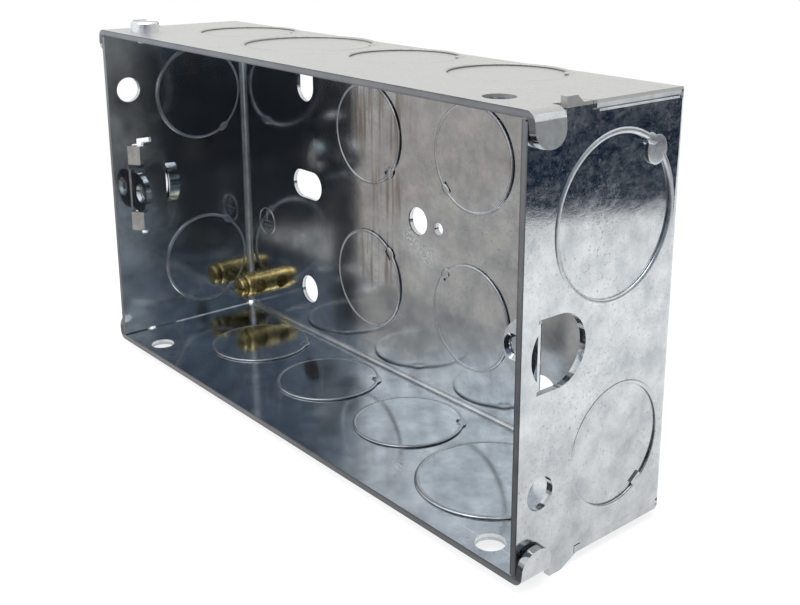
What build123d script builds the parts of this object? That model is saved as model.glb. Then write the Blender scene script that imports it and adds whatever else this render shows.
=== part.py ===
from build123d import *
import math
import os

os.makedirs("parts", exist_ok=True)

# Millimetres. X runs along the box, Y into the wall, Z up.
# The origin is the middle of the back panel's outer face, so the open front is at -Y.

# Sheet and outer size. The standard pitch of the faceplate holes sets the length.
lug_pitch = 120.6
lug_to_end = 5.7
box_height = 73.4
inside_depth = 35.0
sheet = 1.2
bend_inside = 1.0
fold_inside = 0.6
box_length = lug_pitch + 2 * lug_to_end
box_depth = inside_depth + sheet
front = -box_depth
half_length = box_length / 2
half_height = box_height / 2
inner_length = half_length - sheet
inner_height = half_height - sheet

# How far a cutting shape runs past the metal
past = 1.0

# Open seams between the end panels and the top and bottom panels
seam_gap = 0.2
front_seam_gap = 0.4
corner_relief = 1.4

# Tabs of the top and bottom panels, folded over the end panels at the front corners
tab_width = 6.4
tab_drop = 5.6
tab_corner = 3.0
tab_gap = 0.1
tab_lean = 6.0
notch_width = 1.3
notch_depth = 0.5
notch_clearance = 0.15

# Ears of the end panels that stand in the notches behind the tabs
ear_crest = 2.3
ear_slope = 1.2
ear_rise = 1.1
tall_ear_crest = 2.6
tall_ear_slope = 3.6
tall_ear_rise = 1.7
ear_length = 5.6
ear_root = 2.0

# Knockouts, half sheared inwards
small_knockout = 21.4
large_knockout = 26.8
shear_step = 0.35
nib_width = 2.4
row_nib_angle = 45.0
end_low_nib_angle = 35.0
end_high_nib_angle = 145.0
back_pitch_x = 33.0
back_pitch_z = 32.6
back_offset_x = 1.6
back_offset_z = 0.5
row_count = 4
top_large_place = 1
bottom_large_place = 3
row_pitch = 27.1
top_row_offset = -2.8
top_row_to_back = 12.2
top_large_to_back = 14.8
bottom_row_offset = 1.1
bottom_row_to_back = 14.6
bottom_large_to_back = 17.8
end_small_to_back = 13.6
end_small_height = 20.6
end_large_to_back = 16.2
end_large_height = 18.1

# Plain holes
centre_hole = 5.9
centre_hole_shift = 0.5
pilot_hole = 2.6
pilot_shift = 6.5
fixing_column = 38.4
fixing_slot_height = 25.8
fixing_middle_height = 0.9
fixing_hole_height = -24.8
fixing_width = 6.7
fixing_slot_length = 11.6
fixing_tall_slot_length = 10.6
end_hole = 5.6
end_hole_inset = 4.9
end_hole_height = 22.9
edge_hole = 5.2
edge_hole_to_end = 10.8
top_hole_inset = 5.1
bottom_hole_inset = 4.1

# Faceplate fixings
lug_inset = 4.0
lug_width = 10.6
fixed_lug_edge = 2.1
slider_lug_edge = 3.0
lug_bore = 2.9
lug_countersink = 4.3
countersink_depth = 0.6
opening_clearance = 0.65
lug_end_clearance = 2.7

# Adjustable lug: a slider held on the left end panel
slider_sheet = 1.2
slider_block_height = 9.0
slider_height = 22.0
slider_rear = 12.2
slider_neck = 6.9
slider_clearance = 0.12
slider_corner = 0.8
lug_drop = 0.45
tongue_gap = 11.3
tongue_height = 4.4
tongue_root = 3.6
tongue_rise_run = 2.4
tongue_tip = 11.8
tongue_corner = 1.7
tongue_slot_side = 1.2
tongue_slot_start = 6.0
tongue_slot_end = 9.6
guide_start = 12.7
guide_width = 2.6
guide_rise = 2.2
guide_span = 9.2
lance_clearance = 0.15

# Earth terminal
terminal_to_end = 8.0
terminal_to_bottom = 8.8
terminal_dia = 6.0
terminal_length = 6.2
terminal_chamfer = 0.4
spigot_dia = 3.8
wire_hole = 3.4
wire_hole_height = 3.2
terminal_screw_dia = 3.4
terminal_head_dia = 5.0
terminal_head_height = 1.4
terminal_head_chamfer = 0.3
terminal_neck = 0.3
terminal_slot_width = 0.8
terminal_slot_depth = 0.8
terminal_screw_bite = 0.3
thread_clearance = 0.05
terminal_x = terminal_to_end - half_length
terminal_z = terminal_to_bottom - half_height

# Spare screw in the top panel
screw_dia = 3.4
screw_head_dia = 6.0
screw_head_height = 2.3
screw_head_chamfer = 0.3
screw_tail = 1.0
slot_width = 0.9
slot_depth = 0.7
slot_angle = 50.0
edge_hole_x = half_length - edge_hole_to_end
top_hole_y = front + top_hole_inset


def box_between(x0, x1, y0, y1, z0, z1):
    size = (x1 - x0, y1 - y0, z1 - z0)
    middle = ((x0 + x1) / 2, (y0 + y1) / 2, (z0 + z1) / 2)
    return Pos(*middle) * Box(*size)


def rod_x(dia, x0, x1, y, z):
    return Pos((x0 + x1) / 2, y, z) * Rot(0, 90, 0) * Cylinder(dia / 2, abs(x1 - x0))


def rod_y(dia, y0, y1, x, z):
    return Pos(x, (y0 + y1) / 2, z) * Rot(90, 0, 0) * Cylinder(dia / 2, abs(y1 - y0))


def rod_z(dia, z0, z1, x, y):
    return Pos(x, y, (z0 + z1) / 2) * Cylinder(dia / 2, abs(z1 - z0))


def turned(shape):
    # the left end and its corners are the right ones turned half round the depth axis
    return Rot(0, 180, 0) * shape


def folded_shell():
    outer = box_between(-half_length, half_length, front, 0, -half_height, half_height)
    outer = fillet(outer.faces().sort_by(Axis.Y)[-1].edges(), bend_inside + sheet)
    cavity = box_between(-inner_length, inner_length, front - past, -sheet, -inner_height, inner_height)
    cavity = fillet(cavity.faces().sort_by(Axis.Y)[-1].edges(), bend_inside)
    return outer - cavity


def corner_cuts():
    # one corner, top right: the seam, its relief hole at the bend, the notch and the tab's room
    top_of_end = inner_height - seam_gap
    notch_end = front + tab_width + notch_width + ear_length + notch_clearance
    outside = half_length + past
    above = half_height + past
    seam = box_between(inner_length, outside, front - past, -corner_relief, top_of_end, inner_height)
    relief = box_between(inner_length - bend_inside, outside, -1.5 * corner_relief, -corner_relief / 2,
                         inner_height - corner_relief / 2, inner_height + corner_relief / 2)
    notch = box_between(inner_length - notch_clearance, outside, front + tab_width, notch_end,
                        top_of_end, above)
    notch += box_between(inner_length - notch_depth, outside, front + tab_width,
                         front + tab_width + notch_width, inner_height - front_seam_gap, above)
    tab_room = box_between(half_length + tab_gap - fold_inside, outside, front - past,
                           front + tab_width, inner_height - front_seam_gap, above)
    return seam + relief + notch + tab_room


def folded_tab():
    # profile in X and Z, bent down over the outside of the end panel and standing off it a little
    lean = math.radians(tab_lean)
    middle = (math.pi / 2 + lean) / 2
    bend_x = half_length + tab_gap - fold_inside
    bend_z = inner_height - fold_inside
    start = bend_x - sheet
    outer_bend = fold_inside + sheet
    low = half_height - tab_drop

    def around(radius, angle):
        return (bend_x + radius * math.cos(angle), bend_z + radius * math.sin(angle))

    outer_end = around(outer_bend, lean)
    inner_end = around(fold_inside, lean)
    run = (outer_end[1] - low) / math.cos(lean)
    step = (run * math.sin(lean), -run * math.cos(lean))
    outer_low = (outer_end[0] + step[0], outer_end[1] + step[1])
    inner_low = (inner_end[0] + step[0], inner_end[1] + step[1])
    with BuildPart() as made:
        with BuildSketch(Plane.XZ.offset(-front)):
            with BuildLine():
                Line((start, half_height), (bend_x, half_height))
                ThreePointArc((bend_x, half_height), around(outer_bend, middle), outer_end)
                Line(outer_end, outer_low)
                Line(outer_low, inner_low)
                Line(inner_low, inner_end)
                ThreePointArc(inner_end, around(fold_inside, middle), (bend_x, inner_height))
                Line((bend_x, inner_height), (start, inner_height))
                Line((start, inner_height), (start, half_height))
            make_face()
        extrude(amount=-tab_width)
    free_end = made.part.faces().sort_by(Axis.Z)[0]
    return fillet(free_end.edges().sort_by(SortBy.LENGTH)[:2], tab_corner)


def ear(crest, slope, rise):
    # the end panel's edge stands up through the notch behind the tab
    near = front + tab_width + notch_width
    far = near + ear_length
    top = half_height + rise
    root = inner_height - seam_gap - ear_root
    profile = Polyline((near, root), (near, top), (near + crest, top), (near + crest + slope, half_height),
                       (far, half_height), (far, root), (near, root))
    face = make_face(Plane.YZ.offset(inner_length) * profile)
    return extrude(face, sheet, dir=(1, 0, 0))


def corner_metal(crest, slope, rise):
    return folded_tab() + ear(crest, slope, rise)


def all_corner_cuts():
    top_right = corner_cuts()
    bottom_right = mirror(top_right, Plane.XY)
    right = top_right + bottom_right
    return right + turned(right)


def all_corner_metal():
    top_right = corner_metal(ear_crest, ear_slope, ear_rise)
    bottom_right = mirror(corner_metal(tall_ear_crest, tall_ear_slope, tall_ear_rise), Plane.XY)
    return [top_right, bottom_right, turned(top_right), turned(bottom_right)]


def knockout(dia, nib_angle):
    # a disc in the XY plane with its outer face at z = 0, pushed down by the shear step,
    # and left joined to the sheet where the nib is
    disc = Cylinder(dia / 2, shear_step)
    nib = Rot(0, 0, nib_angle) * Pos(dia / 2, 0, 0) * Box(nib_width, nib_width, 2 * shear_step)
    disc -= nib
    recess = Pos(0, 0, -shear_step / 2) * disc
    pad = Pos(0, 0, -sheet - shear_step / 2) * disc
    return recess, pad


def back_knockouts():
    placed = []
    for side in (-1, 1):
        for level in (-1, 1):
            # each nib points to the middle of the group
            angle = math.degrees(math.atan2(level * back_pitch_z, -side * back_pitch_x))
            spot = Pos(back_offset_x + side * back_pitch_x / 2, 0, back_offset_z + level * back_pitch_z / 2)
            placed.append((spot * Rot(-90, 0, 0), small_knockout, angle))
    return placed


def row_knockouts():
    placed = []
    for index in range(row_count):
        x = (index - (row_count - 1) / 2) * row_pitch
        top_large = index == top_large_place
        bottom_large = index == bottom_large_place
        top_y = -(top_large_to_back if top_large else top_row_to_back)
        bottom_y = -(bottom_large_to_back if bottom_large else bottom_row_to_back)
        top = Pos(x + top_row_offset, top_y, half_height)
        bottom = Pos(x + bottom_row_offset, bottom_y, -half_height) * Rot(180, 0, 0)
        placed.append((top, large_knockout if top_large else small_knockout, row_nib_angle))
        placed.append((bottom, large_knockout if bottom_large else small_knockout, -row_nib_angle))
    return placed


def end_knockouts():
    small_y = -end_small_to_back
    large_y = -end_large_to_back
    right = Rot(0, 90, 0)
    left = Rot(0, -90, 0)
    low = end_low_nib_angle
    high = end_high_nib_angle
    return [
        (Pos(half_length, large_y, end_large_height) * right, large_knockout, high),
        (Pos(half_length, small_y, -end_small_height) * right, small_knockout, low),
        (Pos(-half_length, small_y, end_small_height) * left, small_knockout, low),
        (Pos(-half_length, small_y, -end_small_height) * left, small_knockout, high),
    ]


def fixing_slot(x, z, turn, length):
    flat = SlotOverall(length, fixing_width, rotation=turn)
    return Pos(x, 0, z) * extrude(Plane.XZ * flat, sheet + past, both=True)


def back_holes():
    # a column of fixing holes at each side: upright slot, level slot and round hole
    cuts = rod_y(centre_hole, -sheet - past, past, back_offset_x, back_offset_z + centre_hole_shift / 2)
    cuts += rod_y(pilot_hole, -sheet - past, past, back_offset_x + pilot_shift, back_offset_z)
    for side in (-1, 1):
        x = side * fixing_column
        cuts += fixing_slot(x, fixing_slot_height, 90, fixing_tall_slot_length)
        cuts += fixing_slot(x, fixing_middle_height, 0, fixing_slot_length)
        cuts += rod_y(fixing_width, -sheet - past, past, x, fixing_hole_height)
    return cuts


def side_holes():
    # the top left hole is the threaded one that holds the spare screw
    screw_hole = screw_dia + 2 * thread_clearance
    cuts = rod_z(screw_hole, inner_height - past, half_height + past, -edge_hole_x, top_hole_y)
    cuts += rod_z(edge_hole, inner_height - past, half_height + past, edge_hole_x, top_hole_y)
    for side in (-1, 1):
        cuts += rod_z(edge_hole, -half_height - past, -inner_height + past,
                      side * edge_hole_x + bottom_row_offset, front + bottom_hole_inset)
        cuts += rod_x(end_hole, side * (inner_length - past), side * (half_length + past),
                      front + end_hole_inset, -side * end_hole_height)
    return cuts


def lug_outline(width, root_x, tip_x, thickness):
    # a D shape in the XZ plane, from its straight root to its round tip
    centre_x = tip_x + width / 2
    straight = box_between(tip_x, root_x, -thickness / 2, thickness / 2, -width / 2, width / 2)
    tip = rod_y(width, -thickness / 2, thickness / 2, centre_x, 0)
    tip += box_between(centre_x, centre_x + width, -thickness / 2, thickness / 2, -width / 2, width / 2)
    return straight & tip


def lug_hole():
    # along Y, with its mouth at y = 0 facing -Y
    hole = rod_y(lug_bore, -past, sheet + past, 0, 0)
    mouth = Pos(0, countersink_depth / 2, 0) * Rot(90, 0, 0) * Cone(
        lug_bore / 2, lug_countersink / 2, countersink_depth)
    return hole + mouth


def quarter_bend(inside, thickness, width):
    # a bend around the Z axis from +X to +Y, centred on the origin
    whole = Cylinder(inside + thickness, width) - Cylinder(inside, width)
    quarter = Pos((inside + thickness) / 2, (inside + thickness) / 2, 0) * Box(
        inside + thickness, inside + thickness, width)
    return whole & quarter


def fixed_lug():
    # lanced from the right end panel and bent inwards at its front edge
    bend_x = inner_length - fold_inside
    bend_y = front + lug_inset - fold_inside
    middle_y = front + lug_inset + sheet / 2
    bend = Pos(bend_x, bend_y, 0) * quarter_bend(fold_inside, sheet, lug_width)
    flat = Pos(0, middle_y, 0) * lug_outline(lug_width, bend_x, lug_pitch / 2 - fixed_lug_edge, sheet)
    lug = bend + flat - Pos(lug_pitch / 2, front + lug_inset, 0) * lug_hole()
    return Pos(0, 0, -lug_drop) * lug


def fixed_lug_opening():
    # what the lug left behind in the panel
    width = lug_width + 2 * opening_clearance
    bend_y = front + lug_inset - fold_inside
    tip_x = lug_pitch / 2 - fixed_lug_edge
    bend_blank = (fold_inside + sheet / 2) * math.pi / 2
    far = bend_y + bend_blank + inner_length - fold_inside - tip_x + lug_end_clearance
    centre_y = far - width / 2
    opening = box_between(inner_length - past, half_length + past, bend_y, centre_y, -width / 2, width / 2)
    opening += rod_x(width, inner_length - past, half_length + past, centre_y, 0)
    return Pos(0, 0, -lug_drop) * opening


def tongue():
    # profile in X and Y: up from the wall, then along over the slider, with a round free end
    wall_out = -half_length
    wall_in = -inner_length
    under = wall_in + slider_sheet + slider_clearance
    over = under + sheet
    root = front + tongue_root
    bend = root + tongue_rise_run
    tip = front + tongue_tip
    profile = Polyline((wall_out, root), (wall_in, root), (over, bend - sheet / 2), (over, tip),
                       (under, tip), (under, bend), (wall_in, root + sheet), (wall_out, root + sheet),
                       (wall_out, root))
    solid = extrude(make_face(profile), tongue_height / 2, both=True)
    free_corners = solid.edges().filter_by(Axis.X).group_by(Axis.Y)[-1]
    return fillet(free_corners, tongue_corner)


def tongue_opening():
    # under the tongue, with a short slot beside it on the side away from the slider
    outside = -half_length - past
    inside = -inner_length + past
    near = front + tongue_root + sheet
    far = front + tongue_tip + lance_clearance
    high = tongue_height / 2 + lance_clearance
    opening = box_between(outside, inside, near, far, -high, high)
    opening += box_between(outside, inside, front + tongue_slot_start, front + tongue_slot_end,
                           0, high + tongue_slot_side)
    return opening


def guide_bridge():
    # an arched strap behind the slider, lanced from the panel, rising around an axis along Y
    outer = (guide_span ** 2 / 4 + guide_rise ** 2) / (2 * guide_rise)
    centre_x = -inner_length + guide_rise - outer
    near = front + guide_start
    far = near + guide_width
    ring = rod_y(2 * outer, near, far, centre_x, 0)
    ring -= rod_y(2 * (outer - sheet), near - past, far + past, centre_x, 0)
    keep = box_between(-half_length, -inner_length + guide_rise + past, near, far, -guide_span, guide_span)
    return ring & keep


def guide_opening():
    near = front + guide_start - lance_clearance
    far = front + guide_start + guide_width + lance_clearance
    return box_between(-half_length - past, -inner_length + past, near, far, -guide_span / 2, guide_span / 2)


def make_box_body():
    body = folded_shell() - all_corner_cuts()
    for metal in all_corner_metal():
        body += metal
    for place, dia, nib_angle in back_knockouts() + row_knockouts() + end_knockouts():
        recess, pad = knockout(dia, nib_angle)
        body += place * pad
        body -= place * recess
    body -= back_holes()
    body -= side_holes()
    body -= fixed_lug_opening()
    body += fixed_lug()
    upper = Pos(0, 0, tongue_gap / 2 + tongue_height / 2)
    for level in (1, -1):
        opening = upper * tongue_opening()
        strap = upper * tongue()
        if level < 0:
            opening = mirror(opening, Plane.XY)
            strap = mirror(strap, Plane.XY)
        body -= opening
        body += strap
    body -= guide_opening()
    body += guide_bridge()
    body -= rod_y(spigot_dia, -sheet - past, past, terminal_x, terminal_z)
    return body


def make_adjustable_lug():
    # a plate on the panel with a lug bent off its front edge
    wall = -inner_length + slider_clearance / 2
    face = wall + slider_sheet
    rear = front + slider_rear
    outer_bend = fold_inside + slider_sheet
    lug_front = front + lug_inset
    block = box_between(wall, face, lug_front + outer_bend, rear, -slider_block_height / 2,
                        slider_block_height / 2)
    plate = box_between(wall, face, front + slider_neck, rear, -slider_height / 2, slider_height / 2)
    plate = fillet(plate.edges().filter_by(Axis.X), slider_corner)
    bend = mirror(quarter_bend(fold_inside, slider_sheet, slider_block_height), Plane.YZ)
    bend = Pos(face + fold_inside, lug_front + outer_bend, 0) * mirror(bend, Plane.XZ)
    flat = mirror(lug_outline(slider_block_height, inner_length - slider_clearance / 2 - outer_bend,
                              lug_pitch / 2 - slider_lug_edge, slider_sheet), Plane.YZ)
    flat = Pos(0, lug_front + slider_sheet / 2, 0) * flat
    lug = block + plate + bend + flat
    lug -= Pos(-lug_pitch / 2, lug_front, 0) * lug_hole()
    return Pos(0, 0, -lug_drop) * lug


def make_earth_terminal():
    base = -sheet
    top = base - terminal_length
    post = rod_y(terminal_dia, top, base, terminal_x, terminal_z)
    post = chamfer(post.edges().group_by(Axis.Y)[0], terminal_chamfer)
    post += rod_y(spigot_dia, base, 0, terminal_x, terminal_z)
    post -= rod_y(terminal_screw_dia + 2 * thread_clearance, top - past, base - wire_hole_height,
                  terminal_x, terminal_z)
    post -= rod_x(wire_hole, terminal_x - terminal_dia, terminal_x + terminal_dia,
                  base - wire_hole_height, terminal_z)
    return post


def make_earth_terminal_screw():
    mouth = -sheet - terminal_length
    head_base = mouth - terminal_neck
    head_top = head_base - terminal_head_height
    tip = -sheet - wire_hole_height - wire_hole / 2 + terminal_screw_bite
    head = rod_y(terminal_head_dia, head_top, head_base, terminal_x, terminal_z)
    head = chamfer(head.edges().group_by(Axis.Y)[0], terminal_head_chamfer)
    shank = rod_y(terminal_screw_dia, head_base, tip, terminal_x, terminal_z)
    slot = Pos(terminal_x, head_top, terminal_z) * Box(
        2 * terminal_head_dia, 2 * terminal_slot_depth, terminal_slot_width)
    return head + shank - slot


def make_spare_screw():
    head_top = half_height + screw_head_height
    head = rod_z(screw_head_dia, half_height, head_top, -edge_hole_x, top_hole_y)
    head = chamfer(head.edges().group_by(Axis.Z)[-1], screw_head_chamfer)
    shank = rod_z(screw_dia, inner_height - screw_tail, half_height, -edge_hole_x, top_hole_y)
    slot = Pos(-edge_hole_x, top_hole_y, head_top) * Rot(0, 0, slot_angle) * Box(
        2 * screw_head_dia, slot_width, 2 * slot_depth)
    return head + shank - slot


pieces = {
    "box_body": make_box_body,
    "adjustable_lug": make_adjustable_lug,
    "earth_terminal": make_earth_terminal,
    "earth_terminal_screw": make_earth_terminal_screw,
    "spare_screw": make_spare_screw,
}

for name, make in pieces.items():
    shape = make()
    export_step(shape, f"parts/{name}.step")
    print(name, "solids", len(shape.solids()), "volume", round(shape.volume, 1))
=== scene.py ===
import bpy
import math
from mathutils import Matrix, Vector


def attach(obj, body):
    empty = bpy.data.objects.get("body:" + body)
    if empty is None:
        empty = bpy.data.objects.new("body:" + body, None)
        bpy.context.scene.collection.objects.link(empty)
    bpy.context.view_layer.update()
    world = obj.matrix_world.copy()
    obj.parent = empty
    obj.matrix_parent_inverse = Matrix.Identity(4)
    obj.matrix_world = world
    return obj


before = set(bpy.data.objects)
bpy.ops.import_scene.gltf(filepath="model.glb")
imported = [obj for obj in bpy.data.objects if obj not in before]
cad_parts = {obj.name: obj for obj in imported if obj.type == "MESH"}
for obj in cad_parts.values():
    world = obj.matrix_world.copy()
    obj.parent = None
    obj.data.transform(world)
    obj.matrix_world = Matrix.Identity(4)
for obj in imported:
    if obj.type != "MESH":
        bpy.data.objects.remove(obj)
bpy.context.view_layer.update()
print("stage: frame loaded")

mm = 0.001
black = (0, 0, 0, 1)


# Node building: maths is written as expressions, every other node comes from add()
class Sock:
    def __init__(self, tree, socket):
        self.tree = tree
        self.socket = socket

    def math(self, operation, *others):
        node = self.tree.nodes.new("ShaderNodeMath")
        node.operation = operation
        for index, value in enumerate((self, *others)):
            plug(self.tree, value, node.inputs[index])
        return Sock(self.tree, node.outputs[0])

    def __add__(self, other):
        return self.math("ADD", other)

    __radd__ = __add__

    def __sub__(self, other):
        return self.math("SUBTRACT", other)

    def __rsub__(self, other):
        return -self + other

    def __mul__(self, other):
        return self.math("MULTIPLY", other)

    __rmul__ = __mul__

    def __truediv__(self, other):
        return self.math("DIVIDE", other)

    def __neg__(self):
        return self * -1

    def __pow__(self, other):
        return self.math("POWER", other)

    def __abs__(self):
        return self.math("ABSOLUTE")

    def __gt__(self, other):
        return self.math("GREATER_THAN", other)

    def __lt__(self, other):
        return self.math("LESS_THAN", other)

    def clamp(self):
        return self.math("MINIMUM", 1.0).math("MAXIMUM", 0.0)

    def ramp(self, low, high):
        # 0 below low, 1 above high
        return ((self - low) / (high - low)).clamp()


def plug(tree, value, target):
    if isinstance(value, Sock):
        tree.links.new(value.socket, target)
    else:
        target.default_value = value


class Nodes:
    def __init__(self, tree):
        self.tree = tree

    def add(self, kind, output=0, settings=None, sockets=None, **named):
        # settings are set first; sockets go by number, or by name with _ for a space
        node = self.tree.nodes.new(kind)
        for key, value in (settings or {}).items():
            setattr(node, key, value)
        for number, value in (sockets or {}).items():
            plug(self.tree, value, node.inputs[number])
        for label, value in named.items():
            plug(self.tree, value, node.inputs[label.replace("_", " ")])
        return Sock(self.tree, node.outputs[output]) if node.outputs else None


class Shade(Nodes):
    def __init__(self, name):
        self.material = bpy.data.materials.new(name)
        self.material.use_nodes = True
        super().__init__(self.material.node_tree)
        self.tree.nodes.clear()

    def place(self):
        return self.add("ShaderNodeTexCoord", "Object")

    def xyz(self, vector):
        parts = self.add("ShaderNodeSeparateXYZ", Vector=vector).socket.node.outputs
        return [Sock(self.tree, part) for part in parts]

    def noise(self, place, size, detail, roughness, stretch=(1, 1, 1)):
        # size is the pattern's size in metres
        scaled = self.add("ShaderNodeMapping", Vector=place, Scale=[k / size for k in stretch])
        return self.add("ShaderNodeTexNoise", "Fac", Vector=scaled, Scale=1.0, Detail=detail,
                        Roughness=roughness)

    def distance(self, place, middle):
        return self.add("ShaderNodeVectorMath", "Value", {"operation": "DISTANCE"}, {0: place, 1: middle})

    def mixColor(self, factor, first, second):
        return self.add("ShaderNodeMix", 2, {"data_type": "RGBA"}, {0: factor, 6: first, 7: second})

    def bump(self, height, distance):
        return self.add("ShaderNodeBump", Height=height, Distance=distance, Strength=1.0)

    def surface(self, **inputs):
        shader = self.add("ShaderNodeBsdfPrincipled", **inputs)
        self.add("ShaderNodeOutputMaterial", Surface=shader)
        return self.material

    def glow(self, color):
        # shines in its colour and takes no light
        return self.surface(Base_Color=black, Roughness=1.0, Specular_IOR_Level=0.0,
                            Emission_Color=color, Emission_Strength=1.0)


def addObject(name, data):
    made = bpy.data.objects.new(name, data)
    bpy.context.scene.collection.objects.link(made)
    return made


# Where the folded sheet lies, in mm from the middle of the back panel's outer face
sheetForm = {
    "halfLength": 66.0,
    "halfHeight": 36.7,
    "depth": 36.2,
    "sheet": 1.2,
    "bendReach": 2.3,
    "skin": 0.05,
    "burrHeight": 35.45,
    "burrEnd": -22.0,
    "topHeight": 36.15,
    "topEnd": -36.0,
    # painted shade: the heights, as -z in mm, over which the outer faces darken toward the bottom
    "paintedLowShadeRamp": (-5, 22),
    "backFace": -2.2,
    "lugFace": -32.2,
    "lugSkin": 0.1,
    "lugSide": 50,
    "cutRamp": (0.25, 0.55),
}

# Zinc: colours, then the noise patterns and the limits of their ramps, then what each adds
zincLook = {
    "light": (0.73, 0.76, 0.78, 1),
    "dark": (0.48, 0.51, 0.54, 1),
    "speck": (0.16, 0.18, 0.21, 1),
    "cut": (0.15, 0.15, 0.16, 1),
    "cutBorder": (0.05, 0.05, 0.06, 1),
    # painted shade: the top panel gets this darker, neutral colour of its own, for how it takes the light
    "top": (0.40, 0.40, 0.39, 1),
    # painted reflection: brownish colour of the upright streaks on the back panel's inner face
    "paintedReflection": (0.30, 0.25, 0.22, 1),
    "scuff": (0.85, 0.86, 0.87, 1),
    "outsideTone": 0.94,
    # painted shade: how far the outer faces are darkened at the bottom
    "paintedLowShadeTone": 0.80,
    "patch": {"size": 5 * mm, "detail": 4, "roughness": 0.65},
    "fine": {"size": 0.55 * mm, "detail": 3, "roughness": 0.7},
    "grain": {"size": 1.1 * mm, "detail": 4, "roughness": 0.7, "stretch": (0.75, 0.6, 1.25)},
    "blotch": {"size": 3.85 * mm, "detail": 4, "roughness": 0.7, "stretch": (0.8, 0.6, 1.2)},
    "cloud": {"size": 16 * mm, "detail": 3, "roughness": 0.6},
    "upright": {"size": 1.8 * mm, "detail": 3, "roughness": 0.6, "stretch": (1, 0.2, 0.06)},
    "wave": {"size": 24 * mm, "detail": 1, "roughness": 0.4},
    "patchRamp": (0.35, 0.70),
    "scuffRamp": (0.44, 0.60),
    "speckRamp": (0.57, 0.70),
    "grainRamp": (0.44, 0.70),
    "blotchRamp": (0.42, 0.66),
    "cloudRamp": (0.36, 0.60),
    "uprightRamp": (0.47, 0.60),
    "paintedReflectionRamp": (0.0, 0.5),
    # painted reflection: places of the upright streaks, middle and radius in mm
    "paintedReflectionPlaces": (((-12, -1, 23), 14), ((-12, -1, -10), 9), ((-9, -1, 5), 8)),
    "scuffPlaces": (((-1, -1, -3), 5), ((5, -1, -6), 5), ((27, -27, -35.5), 5), ((66, -22, 8.5), 5),
                    ((66, -34, 11), 4), ((66, -30, -28), 6)),
    "outsideScuff": 0.4,
    "insideSpeck": 0.7,
    "grainHaze": 0.6,
    "blotchHaze": 0.5,
    "colorOf": {"speck": 0.7, "paintedReflection": 0.75, "scuff": 0.4, "cut": 0.85, "burr": 0.2},
    "insideRoughness": 0.10,
    "outsideRoughness": 0.07,
    "roughnessOf": {"outsideHaze": 0.07, "insideHaze": 0.025, "patch": 0.02, "cut": 0.25,
                    "speck": 0.15, "scuff": 0.15, "bend": 0.22, "top": 0.24},
    "milkOf": {"outsideHaze": 0.12, "insideHaze": 0.005, "scuff": 0.5, "top": 0.40, "cut": 0.3,
               "lugFace": 0.5},
    "matOf": {"speck": 0.3, "burr": 0.5},
    "waviness": 0.025 * mm,
    "waveOf": {"grain": 0.22, "fine": 0.015},
}


def spotMask(shade, place, spots):
    # soft round places given by middle and radius in mm
    mask = 0.0
    for middle, radius in spots:
        away = shade.distance(place, [value * mm for value in middle])
        mask = (1 - away / (radius * mm)).clamp() + mask
    return mask.clamp()


def between(mask, whereNot, where):
    # one number where the mask is 0 and another where it is 1
    return mask * (where - whereNot) + whereNot


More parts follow.
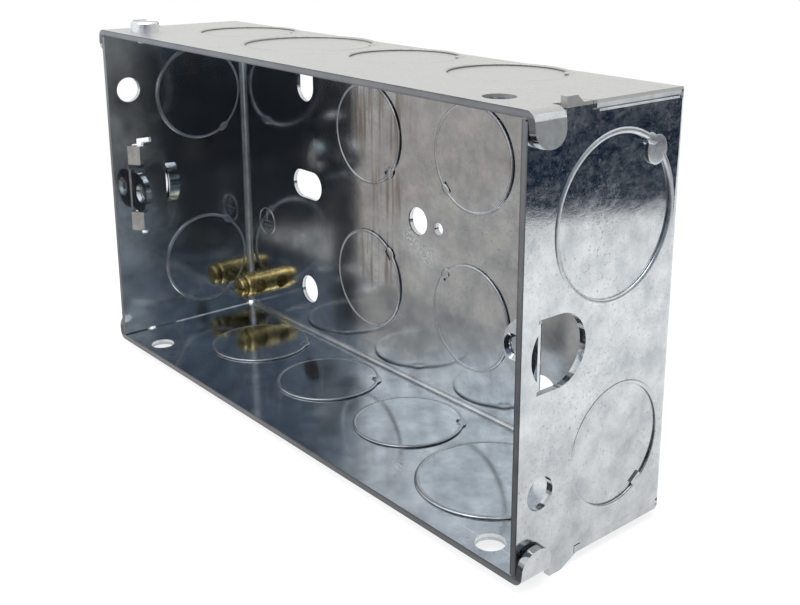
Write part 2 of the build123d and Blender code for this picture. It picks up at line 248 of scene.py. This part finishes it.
def makeZinc(name, look, form):
    shade = Shade(name)
    place = shade.place()
    x, y, z = [along / mm for along in shade.xyz(place)]
    # inside is the space within the middle of the folded sheet
    endMiddle = form["halfLength"] - form["sheet"] / 2
    sideMiddle = form["halfHeight"] - form["sheet"] / 2
    inside = (abs(x) < endMiddle) * (abs(z) < sideMiddle) * (y < -form["sheet"] / 2)
    nearSide = abs(z) > form["halfHeight"] - form["bendReach"]
    nearEnd = abs(x) > form["halfLength"] - form["bendReach"]
    bend = inside * (y > -form["bendReach"]) * (nearSide + nearEnd).clamp()
    # cut edges of the sheet: the open rim, and the ends of the top panel
    atEnd = abs(x) > form["halfLength"] - form["skin"]
    burr = atEnd * (z > form["burrHeight"]) * (y > form["burrEnd"])
    cut = ((y < form["skin"] - form["depth"]) + burr).clamp()
    # painted shade: this marks the top panel, whose colour is made darker
    top = (z > form["topHeight"]) * (y > form["topEnd"])
    # painted shade: the outer faces darken toward the bottom, standing in for the darker floor they mirror
    # there
    low = (-z).ramp(*form["paintedLowShadeRamp"]) * (1 - inside)
    lugFace = (abs(y - form["lugFace"]) < form["lugSkin"]) * (x > form["lugSide"]) * inside

    patch, fine, grain, blotch, cloud, upright, wave = [
        shade.noise(place, **look[key])
        for key in ("patch", "fine", "grain", "blotch", "cloud", "upright", "wave")]
    scuff = spotMask(shade, place, look["scuffPlaces"]) * fine.ramp(*look["scuffRamp"])
    scuff = scuff * between(inside, look["outsideScuff"], 1)
    speck = fine.ramp(*look["speckRamp"]) * cloud.ramp(*look["cloudRamp"])
    speck = speck * between(inside, 1, look["insideSpeck"])
    haze = grain.ramp(*look["grainRamp"]) * look["grainHaze"]
    haze = haze + blotch.ramp(*look["blotchRamp"]) * look["blotchHaze"]
    # painted reflection: upright brownish streaks on the inner face of the back panel, standing in for the
    # reflection of something near the box
    paintedReflection = upright.ramp(*look["uprightRamp"]) * inside * (y > form["backFace"])
    paintedReflection = paintedReflection * spotMask(shade, place, look["paintedReflectionPlaces"]).ramp(*look["paintedReflectionRamp"])

    share = look["colorOf"]
    # the outside tone, and the painted shade toward the bottom of the outer faces
    toneAndPaintedLowShade = between(inside, look["outsideTone"], 1) * (1 - low * (1 - look["paintedLowShadeTone"]))
    sheet = shade.mixColor(patch.ramp(*look["patchRamp"]), look["light"], look["dark"])
    # painted shade: the top panel's colour is replaced by the darker top colour
    sheet = shade.mixColor(top, shade.mixColor(toneAndPaintedLowShade, black, sheet), look["top"])
    color = shade.mixColor(speck * share["speck"], sheet, look["speck"])
    # painted reflection streaks mixed into the colour
    color = shade.mixColor(paintedReflection * share["paintedReflection"], color, look["paintedReflection"])
    color = shade.mixColor(scuff * inside * share["scuff"], color, look["scuff"])
    # the cut edge is lighter along its middle than at its two borders
    offMiddle = abs(abs(x) - endMiddle).math("MINIMUM", abs(abs(z) - sideMiddle))
    cutColor = shade.mixColor(offMiddle.ramp(*form["cutRamp"]), look["cut"], look["cutBorder"])
    cutShare = cut * share["cut"] - burr * (share["cut"] - share["burr"])
    color = shade.mixColor(cutShare, color, cutColor)

    share = look["roughnessOf"]
    rough = between(inside, look["outsideRoughness"], look["insideRoughness"])
    rough = rough + haze * between(inside, share["outsideHaze"], share["insideHaze"])
    rough = rough + patch * share["patch"] + cut * share["cut"] + speck * share["speck"]
    rough = rough + scuff * share["scuff"] + bend * share["bend"] + top * share["top"]

    # milky zinc is less of a mirror, the front face of the fixed lug most of all
    share = look["milkOf"]
    milk = haze * between(inside, share["outsideHaze"], share["insideHaze"])
    milk = milk + scuff * share["scuff"] + top * share["top"] + cut * share["cut"]
    milk = (milk + lugFace * share["lugFace"]).clamp()
    share = look["matOf"]
    metal = 1 - milk - speck * (1 - inside) * share["speck"] - burr * share["burr"]

    height = wave + grain * look["waveOf"]["grain"] + fine * look["waveOf"]["fine"]
    return shade.surface(Base_Color=color, Metallic=metal, Roughness=rough,
                         Normal=shade.bump(height, look["waviness"]))


brassLook = {
    "light": (0.72, 0.56, 0.24, 1),
    "dark": (0.38, 0.27, 0.09, 1),
    "patch": {"size": 2.5 * mm, "detail": 3, "roughness": 0.6},
    "patchRamp": (0.4, 0.75),
    "roughness": 0.17,
    "patchRoughness": 0.2,
    "turned": {"size": 0.5 * mm, "detail": 1, "roughness": 0.5, "stretch": (0.2, 3, 0.2)},
    "turnedHeight": 0.03 * mm,
}

platedLook = {
    "light": (0.86, 0.87, 0.88, 1),
    "dark": (0.62, 0.63, 0.66, 1),
    "patch": {"size": 1.5 * mm, "detail": 3, "roughness": 0.6},
    "patchRamp": (0.4, 0.8),
    "roughness": 0.15,
    "patchRoughness": 0.2,
}


def makeScrewMetal(name, look):
    shade = Shade(name)
    place = shade.place()
    patch = shade.noise(place, **look["patch"])
    color = shade.mixColor(patch.ramp(*look["patchRamp"]), look["light"], look["dark"])
    inputs = {"Base_Color": color, "Metallic": 1.0,
              "Roughness": patch * look["patchRoughness"] + look["roughness"]}
    if "turned" in look:
        inputs["Normal"] = shade.bump(shade.noise(place, **look["turned"]), look["turnedHeight"])
    return shade.surface(**inputs)


zinc = makeZinc("zincSheet", zincLook, sheetForm)
rolledLook = {**zincLook, "insideRoughness": 0.30, "outsideRoughness": 0.30, "outsideTone": 1.0}
rolled = makeZinc("zincRolled", rolledLook, sheetForm)
brass = makeScrewMetal("brass", brassLook)
plated = makeScrewMetal("platedSteel", platedLook)

finishes = {
    "box_body": (zinc, "zinc_steel"),
    "adjustable_lug": (zinc, "zinc_steel"),
    "earth_terminal": (brass, "brass"),
    "earth_terminal_screw": (brass, "brass"),
    "spare_screw": (plated, "plated_steel"),
}

for name, (finish, slotName) in finishes.items():
    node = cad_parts[name]
    node.data.materials.clear()
    node.data.materials.append(finish)
print("stage: materials")


# Geometry Nodes: one small helper builds each tree
class GeoTree(Nodes):
    def __init__(self, name, inputs):
        super().__init__(bpy.data.node_groups.new(name, "GeometryNodeTree"))
        face = self.tree.interface
        face.new_socket("Geometry", in_out="INPUT", socket_type="NodeSocketGeometry")
        for label in inputs:
            face.new_socket(label, in_out="INPUT", socket_type="NodeSocketFloat")
        face.new_socket("Geometry", in_out="OUTPUT", socket_type="NodeSocketGeometry")
        self.start = self.tree.nodes.new("NodeGroupInput")
        self.end = self.tree.nodes.new("NodeGroupOutput")

    def given(self, label):
        return Sock(self.tree, self.start.outputs[label])

    def named(self, label, kind):
        return self.add("GeometryNodeInputNamedAttribute", 0, {"data_type": kind}, Name=label)

    def join(self, first, second):
        joined = self.add("GeometryNodeJoinGeometry", Geometry=first)
        self.tree.links.new(second.socket, joined.socket.node.inputs[0])
        return joined

    def finish(self, geometry, material):
        real = self.add("GeometryNodeRealizeInstances", Geometry=geometry)
        smooth = self.add("GeometryNodeSetShadeSmooth", Geometry=real)
        painted = self.add("GeometryNodeSetMaterial", Geometry=smooth, Material=material)
        self.tree.links.new(painted.socket, self.end.inputs[0])

    def grow(self, name, base, values):
        # runs the tree on the base mesh and keeps the result as a plain mesh object
        source = addObject(name + "Source", base)
        modifier = source.modifiers.new("grow", "NODES")
        modifier.node_group = self.tree
        sockets = {item.name: item.identifier for item in self.tree.interface.items_tree
                   if item.in_out == "INPUT"}
        for label, value in values.items():
            modifier[sockets[label]] = value
        source.update_tag()
        evaluated = source.evaluated_get(bpy.context.evaluated_depsgraph_get())
        mesh = bpy.data.meshes.new_from_object(evaluated)
        mesh.name = name
        bpy.data.objects.remove(source)
        return addObject(name, mesh)


# Rolled rims of the half sheared knockouts
knockoutLook = {
    "small": 10.7 * mm,
    "large": 13.4 * mm,
    "insideWidth": 0.36 * mm,
    "insideHeight": 0.16 * mm,
    "insideDepth": 1.45 * mm,
    "outsideWidth": 0.44 * mm,
    "outsideHeight": 0.22 * mm,
    "outsideDepth": 0.15 * mm,
    "nibLength": 1.5 * mm,
    "nibWidth": 0.9 * mm,
    "nibHeight": 1.15,
    "gap": 0.02,
    "steps": 96,
    "profileSteps": 10,
    "nibSegments": 24,
    "nibRings": 12,
}

# Where the knockouts are, in mm: four in the back, four in the top and the bottom, two in each end
knockoutPlaces = {
    "backMiddle": (1.6, 0.5),
    "backReach": (16.5, 16.3),
    "perPanel": 4,
    "alongStep": 27.1,
    # shift along the panel, depth of the small ones, depth of the large one and its number
    "top": (-2.8, -12.2, -14.8, 1),
    "bottom": (1.1, -14.6, -17.8, 3),
    "endNib": (0.574, 0.819),
    "endSmall": (-13.6, 20.6),
    "endLarge": (-16.2, 18.1),
}


def knockoutSpots(look, places, form):
    # middle on the outer face, outward direction, radius, and the direction of the uncut nib
    spots = []
    small, large = look["small"], look["large"]
    (backX, backZ), (reachX, reachZ) = places["backMiddle"], places["backReach"]
    for side in (-1, 1):
        for level in (-1, 1):
            middle = Vector((backX + side * reachX, 0, backZ + level * reachZ)) * mm
            spots.append((middle, Vector((0, 1, 0)), small, Vector((-side * reachX, 0, -level * reachZ))))
    for index in range(places["perPanel"]):
        along = (index - (places["perPanel"] - 1) / 2) * places["alongStep"]
        for panel, level in (("top", 1), ("bottom", -1)):
            shift, smallDepth, largeDepth, largeIndex = places[panel]
            depth, radius = (largeDepth, large) if index == largeIndex else (smallDepth, small)
            middle = Vector((along + shift, depth, level * form["halfHeight"])) * mm
            spots.append((middle, Vector((0, 0, level)), radius, Vector((1, 1, 0))))
    # the upper knockout of the right end is the large one
    nibY, nibZ = places["endNib"]
    for side, level, radius, (depth, height) in (
            (1, 1, large, places["endLarge"]), (1, -1, small, places["endSmall"]),
            (-1, -1, small, places["endSmall"]), (-1, 1, small, places["endSmall"])):
        middle = Vector((side * form["halfLength"], depth, level * height)) * mm
        spots.append((middle, Vector((side, 0, 0)), radius, Vector((0, nibY, side * level * nibZ))))
    return spots


def rimPoints(name, spots, depth, look):
    mesh = bpy.data.meshes.new(name)
    mesh.from_pydata([middle - outward * depth for middle, outward, _, _ in spots], [], [])
    mesh.attributes.new("turn", "FLOAT_VECTOR", "POINT")
    mesh.attributes.new("size", "FLOAT", "POINT")
    turns = mesh.attributes["turn"]
    sizes = mesh.attributes["size"]
    for index, (_, outward, radius, nib) in enumerate(spots):
        across = nib.normalized()
        frameTurn = Matrix((across, outward.cross(across), outward)).transposed()
        turns.data[index].vector = frameTurn.to_euler()
        sizes.data[index].value = radius / look["small"]
    return mesh


def makeRimTree(look, material):
    geo = GeoTree("rims", ["Width", "Height"])
    arc = geo.add("GeometryNodeCurveArc", Resolution=look["steps"], Radius=look["small"],
                  Start_Angle=look["gap"], Sweep_Angle=2 * math.pi - 2 * look["gap"])
    circle = geo.add("GeometryNodeCurvePrimitiveCircle", Resolution=look["profileSteps"], Radius=1.0)
    scale = geo.add("ShaderNodeCombineXYZ", X=geo.given("Width"), Y=geo.given("Height"), Z=1.0)
    profile = geo.add("GeometryNodeTransform", Geometry=circle, Scale=scale)
    ring = geo.add("GeometryNodeCurveToMesh", Curve=arc, Profile_Curve=profile, Fill_Caps=True)
    # a smooth swelling over the nib that still holds the disc
    ball = geo.add("GeometryNodeMeshUVSphere", Segments=look["nibSegments"], Rings=look["nibRings"],
                   Radius=1.0)
    nibSize = geo.add("ShaderNodeCombineXYZ", X=look["nibWidth"], Y=look["nibLength"],
                      Z=geo.given("Height") * look["nibHeight"])
    nib = geo.add("GeometryNodeTransform", Geometry=ball, Scale=nibSize,
                  Translation=(look["small"], 0, 0))
    rim = geo.join(nib, ring)
    placed = geo.add("GeometryNodeInstanceOnPoints", Points=geo.given("Geometry"), Instance=rim,
                     Rotation=geo.named("turn", "FLOAT_VECTOR"), Scale=geo.named("size", "FLOAT"))
    geo.finish(placed, material)
    return geo


def makeRims(look, places, form):
    # a rolled shoulder along the step of each knockout
    spots = knockoutSpots(look, places, form)
    # the back panel's outer side stays plain, because the box lies on it
    outer = [spot for spot in spots if spot[1].y < 0.5]
    tree = makeRimTree(look, rolled)
    inside = tree.grow("knockoutRimsInside", rimPoints("insidePoints", spots, look["insideDepth"], look),
                       {"Width": look["insideWidth"], "Height": look["insideHeight"]})
    outside = tree.grow("knockoutRimsOutside", rimPoints("outsidePoints", outer, look["outsideDepth"], look),
                        {"Width": look["outsideWidth"], "Height": look["outsideHeight"]})
    return [inside, outside]


for rims in makeRims(knockoutLook, knockoutPlaces, sheetForm):
    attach(rims, "box")
print("stage: rims")


# Small marks, in mm: the pressed earth sign, the lips along the upper seams, the zinc that closes
# the seam under the right end, and a round press mark
markLook = {
    "signPlace": (-56.1, -11.8),
    "signFace": -1.2,
    "signRadius": 3.35,
    "signSteps": 40,
    "signLine": 0.15,
    "signBars": ((0.1, 2.1), (-0.9, 1.4), (-1.8, 0.7)),
    "signStem": 2.5,
    "lipLine": 0.2,
    "lipSide": 65.95,
    "lipHeight": 35.12,
    "lipStart": -21.5,
    "lipEnd": -2.6,
    "fillLow": (65.6, -21.4, -35.75),
    "fillHigh": (66.012, -1.9, -35.15),
    "pressPlace": (66.0, -7.3, 27.4),
    "pressRadius": 2.4,
    "pressHeight": 0.13,
}


def beads(name, paths, radius, material):
    # each path is a list of points in mm; a closed one ends where it starts
    curve = bpy.data.curves.new(name, "CURVE")
    curve.dimensions = "3D"
    curve.bevel_depth = radius * mm
    curve.bevel_resolution = 2
    curve.use_fill_caps = True
    for path in paths:
        closed = path[0] == path[-1]
        points = path[:-1] if closed else path
        spline = curve.splines.new("POLY")
        spline.points.add(len(points) - 1)
        spline.use_cyclic_u = closed
        for point, place in zip(spline.points, points):
            point.co = (*(Vector(place) * mm), 1)
    source = addObject(name + "Source", curve)
    mesh = bpy.data.meshes.new_from_object(source.evaluated_get(bpy.context.evaluated_depsgraph_get()))
    bpy.data.objects.remove(source)
    mesh.materials.clear()
    mesh.materials.append(material)
    return addObject(name, mesh)


def makeEarthSign(look):
    x, z = look["signPlace"]
    face, radius, steps = look["signFace"], look["signRadius"], look["signSteps"]
    ring = []
    for step in range(steps + 1):
        turn = 2 * math.pi * (step % steps) / steps
        ring.append((x + radius * math.cos(turn), face, z + radius * math.sin(turn)))
    bars = [[(x - half, face, z + height), (x + half, face, z + height)] for height, half in look["signBars"]]
    stem = [(x, face, z + look["signStem"]), (x, face, z + look["signBars"][0][0])]
    return beads("earthSign", [ring, stem, *bars], look["signLine"], rolled)


def makeSeamLips(look):
    start, end, height = look["lipStart"], look["lipEnd"], look["lipHeight"]
    paths = [[(x, start, height), (x, end, height)] for x in (-look["lipSide"], look["lipSide"])]
    return beads("seamLips", paths, look["lipLine"], rolled)


def makeSeamFill(look):
    bpy.ops.mesh.primitive_cube_add(size=1.0)
    fill = bpy.context.active_object
    fill.name = "seamFill"
    low, high = Vector(look["fillLow"]) * mm, Vector(look["fillHigh"]) * mm
    size = Matrix.Diagonal((*(high - low), 1))
    fill.data.transform(Matrix.Translation((low + high) / 2) @ size)
    fill.data.materials.append(zinc)
    return fill


def makePressMark(look):
    bpy.ops.mesh.primitive_uv_sphere_add(segments=32, ring_count=16, radius=1.0)
    mark = bpy.context.active_object
    mark.name = "pressMark"
    size = Matrix.Diagonal((look["pressHeight"] * mm, look["pressRadius"] * mm, look["pressRadius"] * mm, 1))
    mark.data.transform(Matrix.Translation(Vector(look["pressPlace"]) * mm) @ size)
    mark.data.shade_smooth()
    mark.data.materials.append(rolled)
    return mark


marks = [make(markLook) for make in (makeEarthSign, makeSeamLips, makeSeamFill, makePressMark)]
for mark in marks:
    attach(mark, "box")
print("stage: marks")


# Thread turns, which the solids leave as plain cylinders
threadLook = {"pitch": 0.6, "line": 0.1, "steps": 24}
# body, material and slot, then the axis, the middle across it, the radius and the span along it, in mm
threads = {
    "fixedLugThread": (
        "box", rolled, "zinc_steel",
        {"axis": "Y", "middle": (60.3, -0.45), "radius": 1.45, "span": (-31.55, -31.05)}),
    "slidingLugThread": (
        "lug", rolled, "zinc_steel",
        {"axis": "Y", "middle": (-60.3, -0.45), "radius": 1.45, "span": (-31.55, -31.05)}),
    "terminalScrewThread": (
        "box", brass, "brass",
        {"axis": "Y", "middle": (-58.0, -27.9), "radius": 1.7, "span": (-7.6, -5.9)}),
    "spareScrewThread": (
        "box", plated, "plated_steel",
        {"axis": "Z", "middle": (-55.2, -31.1), "radius": 1.7, "span": (34.65, 35.45)}),
}


def helix(thread, look):
    points = []
    start, end = thread["span"]
    for step in range(int((end - start) / look["pitch"] * look["steps"]) + 1):
        turn = 2 * math.pi * step / look["steps"]
        along = start + look["pitch"] * step / look["steps"]
        first = thread["middle"][0] + thread["radius"] * math.cos(turn)
        second = thread["middle"][1] + thread["radius"] * math.sin(turn)
        points.append((first, along, second) if thread["axis"] == "Y" else (first, second, along))
    return points


for name, (body, material, slotName, thread) in threads.items():
    turns = beads(name, [helix(thread, threadLook)], threadLook["line"], material)
    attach(turns, body)
print("stage: threads")


# Studio
studioLook = {
    "floorHeight": -38.4 * mm,
    "floorSize": 3.0,
    "floorColor": (0.30, 0.30, 0.30, 1),
    "floorRoughness": 0.9,
    "floorGlow": 0.74,
    "fadeStart": 110 * mm,
    "fadeEnd": 260 * mm,
    "ambient": 0.80,
}

lampLooks = {
    "topBox": {"place": (0.1, -0.1, 0.75), "size": (0.7, 0.7), "power": 5.0},
    "frontBox": {"place": (-0.35, -0.75, 0.45), "size": (0.5, 0.5), "power": 3.0},
}

# Cards that only reflections see, in mm; "change" is the height where "low" gives way to "high"
cardLooks = {
    "sideCard": {"middle": (202, 142, 10), "facing": (0.93, 0.36), "size": (500, 100),
                 "low": (0.008, 0.019, 0.042), "high": (0.36, 0.36, 0.36), "change": 6, "blur": 6},
    "cameraCard": {"middle": (102, -74, 50), "facing": (0.72, -0.64), "size": (300, 180),
                   "low": (0.004, 0.006, 0.010), "high": (0.15, 0.19, 0.25), "change": 14, "blur": 8,
                   "left": (0.60, 0.65, 0.70), "leftStart": -44, "leftEnd": -84},
    "leftCard": {"middle": (-85, -98, 50), "facing": (-0.75, -0.66), "size": (260, 180),
                 "low": (0.45, 0.415, 0.385), "high": (0.88, 0.92, 0.96), "change": 12, "blur": 6},
    # within the sheet of the back panel, so that the slots don't shine in the mirror of the end panel
    "backCard": {"middle": (-20, -0.9, 0), "facing": (0, -1), "size": (54, 68),
                 "low": (0.02, 0.02, 0.02), "high": (0.02, 0.02, 0.02), "change": 0, "blur": 10},
}

# The mat lies before the opening: warm at the left, dark toward the camera
matLook = {
    "nearEdge": -38 * mm,
    "farEdge": -430 * mm,
    "halfWidth": 400 * mm,
    "lift": 0.2 * mm,
    "warm": (0.46, 0.44, 0.42, 1),
    "dark": (0.012, 0.015, 0.022, 1),
    "borderStart": 0 * mm,
    "borderEnd": -24 * mm,
    "borderSlope": 0.45,
    "blur": 8 * mm,
    # low upright sheets on the mat: place in x, far end in y and top in z, in mm
    "fences": ((-50, -92, -12), (10, -62, -20)),
    "fenceGap": 0.5,
}


def makeFloor(look):
    bpy.ops.mesh.primitive_plane_add(size=look["floorSize"], location=(0, 0, look["floorHeight"]))
    floor = bpy.context.active_object
    floor.name = "floor"
    shade = Shade("floorWhite")
    x, y, _ = shade.xyz(shade.place())
    far = ((x * x + y * y) ** 0.5).ramp(look["fadeStart"], look["fadeEnd"])
    color = shade.mixColor(far, look["floorColor"], black)
    glow = between(far, look["floorGlow"], 1)
    floor.data.materials.append(
        shade.surface(Base_Color=color, Roughness=look["floorRoughness"], Specular_IOR_Level=0.0,
                      Emission_Color=glow, Emission_Strength=1.0))
    return floor


def addReflected(name, corners, paint):
    # one flat face that only reflections see
    mesh = bpy.data.meshes.new(name)
    mesh.from_pydata(corners, [], [(0, 1, 2, 3)])
    mesh.materials.append(paint)
    face = addObject(name, mesh)
    face.visible_camera = False
    face.visible_shadow = False
    face.visible_diffuse = False
    return face


def makeCard(name, look):
    halfWidth, halfHeight = [side * mm / 2 for side in look["size"]]
    shade = Shade(name + "Paint")
    across, up, _ = [along / mm for along in shade.xyz(shade.place())]
    rise = up + look["middle"][2]
    high = rise.ramp(look["change"] - look["blur"], look["change"] + look["blur"])
    highColor = (*look["high"], 1)
    if "left" in look:
        leftness = 1 - across.ramp(look["leftEnd"], look["leftStart"])
        highColor = shade.mixColor(leftness, highColor, (*look["left"], 1))
    color = shade.mixColor(high, (*look["low"], 1), highColor)
    corners = [(halfWidth * x, halfHeight * y, 0) for x, y in ((-1, -1), (1, -1), (1, 1), (-1, 1))]
    card = addReflected(name, corners, shade.glow(color))
    card.location = Vector(look["middle"]) * mm
    card.rotation_euler = Vector((*look["facing"], 0)).to_track_quat("Z", "Y").to_euler()
    return card


def makeFences(look, floorHeight):
    # each has two upright faces: dark to the box's left end, warm to the other side
    fences = []
    faces = (("fenceLeft", 0.0, look["dark"]), ("fenceRight", look["fenceGap"], look["warm"]))
    for across, end, top in look["fences"]:
        for side, shift, color in faces:
            name = side + str(len(fences))
            x = (across + shift) * mm
            corners = [(x, look["nearEdge"], floorHeight), (x, end * mm, floorHeight),
                       (x, end * mm, top * mm), (x, look["nearEdge"], top * mm)]
            fences.append(addReflected(name, corners, Shade(name + "Paint").glow(color)))
    return fences


def makeMat(look, floorHeight):
    half, near, far = look["halfWidth"], look["nearEdge"], look["farEdge"]
    height = floorHeight + look["lift"]
    shade = Shade("matPaint")
    x, y, _ = shade.xyz(shade.place())
    border = (y - near) * look["borderSlope"] + look["borderStart"]
    border = border.math("MAXIMUM", look["borderEnd"])
    dark = (x - border).ramp(-look["blur"], look["blur"])
    color = shade.mixColor(dark, look["warm"], look["dark"])
    corners = [(-half, far, height), (half, far, height), (half, near, height), (-half, near, height)]
    return addReflected("mat", corners, shade.glow(color))


def makeWorld(look):
    world = bpy.data.worlds.new("studio")
    bpy.context.scene.world = world
    world.use_nodes = True
    nodes = Nodes(world.node_tree)
    nodes.tree.nodes.clear()
    camera, glossy, transmission = [nodes.add("ShaderNodeLightPath", f"Is {ray} Ray")
                                    for ray in ("Camera", "Glossy", "Transmission")]
    shown = (camera + glossy + transmission).clamp()
    background = nodes.add("ShaderNodeBackground", Color=(1, 1, 1, 1),
                           Strength=between(shown, look["ambient"], 1))
    nodes.add("ShaderNodeOutputWorld", Surface=background)


def makeLamp(name, look):
    # an area lamp that looks at the box
    data = bpy.data.lights.new(name, "AREA")
    data.shape = "RECTANGLE"
    data.size, data.size_y = look["size"]
    data.energy = look["power"]
    lamp = addObject(name, data)
    lamp.location = look["place"]
    lamp.rotation_euler = Vector(look["place"]).to_track_quat("Z", "Y").to_euler()
    lamp.visible_camera = False


floor = makeFloor(studioLook)
cards = [makeCard(name, look) for name, look in cardLooks.items()]
mat = makeMat(matLook, studioLook["floorHeight"])
fences = makeFences(matLook, studioLook["floorHeight"])
makeWorld(studioLook)
for name, look in lampLooks.items():
    makeLamp(name, look)
print("stage: studio")


# Camera: a solved view, from the front right and above; pixels are of a picture 800 wide
cameraLook = {
    "place": (167.2, -141.5, 62.3),
    "azimuth": 48.21,
    "elevation": 15.12,
    "roll": 0.50,
    "pictureWidth": 800,
    "focalPixels": 1090.1,
    "shiftPixels": (-45.7, -94.7),
    "sensorWidth": 36,
    "clip": (0.005, 20),
}


def makeCamera(look):
    data = bpy.data.cameras.new("photoCamera")
    data.sensor_width = look["sensorWidth"]
    data.lens = look["focalPixels"] / look["pictureWidth"] * look["sensorWidth"]
    data.shift_x, data.shift_y = [shift / look["pictureWidth"] for shift in look["shiftPixels"]]
    data.clip_start, data.clip_end = look["clip"]
    a, e, r = (math.radians(look[key]) for key in ("azimuth", "elevation", "roll"))
    ahead = Vector((-math.sin(a) * math.cos(e), math.cos(a) * math.cos(e), -math.sin(e)))
    across = ahead.cross(Vector((0, 0, 1))).normalized()
    up = across.cross(ahead)
    right = math.cos(r) * across + math.sin(r) * up
    top = math.cos(r) * up - math.sin(r) * across
    camera = addObject("photoCamera", data)
    turn = Matrix((right, top, -ahead)).transposed().to_4x4()
    camera.matrix_world = Matrix.Translation(Vector(look["place"]) * mm) @ turn
    bpy.context.scene.camera = camera


makeCamera(cameraLook)
bpy.context.scene.view_settings.view_transform = "Standard"
print("stage: camera")
